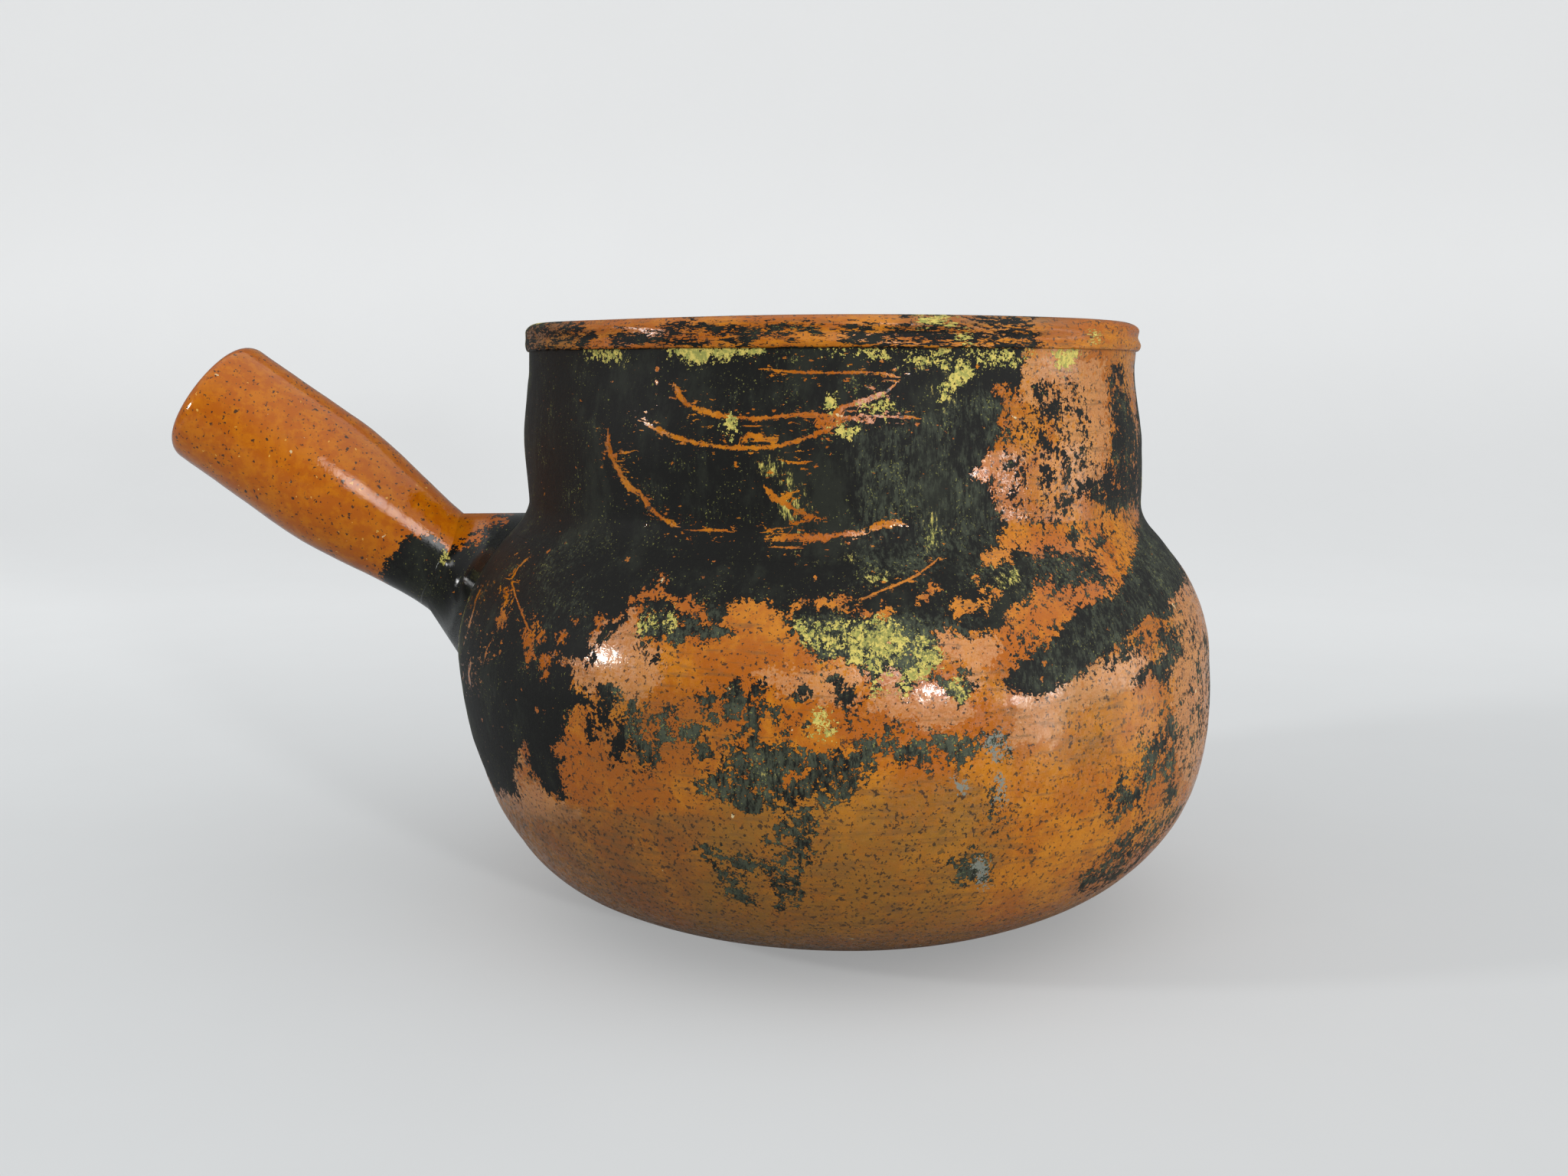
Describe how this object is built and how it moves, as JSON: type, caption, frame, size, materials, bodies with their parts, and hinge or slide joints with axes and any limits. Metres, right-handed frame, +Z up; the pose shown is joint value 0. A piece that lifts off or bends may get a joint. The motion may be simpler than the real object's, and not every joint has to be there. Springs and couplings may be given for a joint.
{
  "type": "glazed terracotta cooking pot",
  "caption": "Round-bellied glazed terracotta cooking pot with a tall straight collar, a folded lip, a flat foot and a hollow club-shaped handle tilted up from the shoulder.",
  "frame": {"origin": "centre of the flat foot, on the surface that the pot stands on", "axes": "+Z up along the axis of the pot, -X towards the handle, +Y away from the side that the picture shows"},
  "size_m": [0.3711, 0.267, 0.2099],
  "materials": {
    "painted_glaze": "orange-brown lead glaze under flaked remains of black, green and ochre paint, satin, scratched and chipped",
    "rim_glaze": "orange glaze with worn streaks of dark paint, satin",
    "orange_glaze": "glossy transparent orange glaze with small dark and light specks",
    "lining_glaze": "glossy honey-brown glaze, crazed and stained by use"
  },
  "bodies": {
    "root": {"belly": "painted_glaze", "neck": "painted_glaze", "neck_coil": "painted_glaze", "lip_band": "rim_glaze", "handle_tube": "orange_glaze", "handle_weld": "painted_glaze", "lining_glaze": "lining_glaze"}
  },
  "joints": []
}
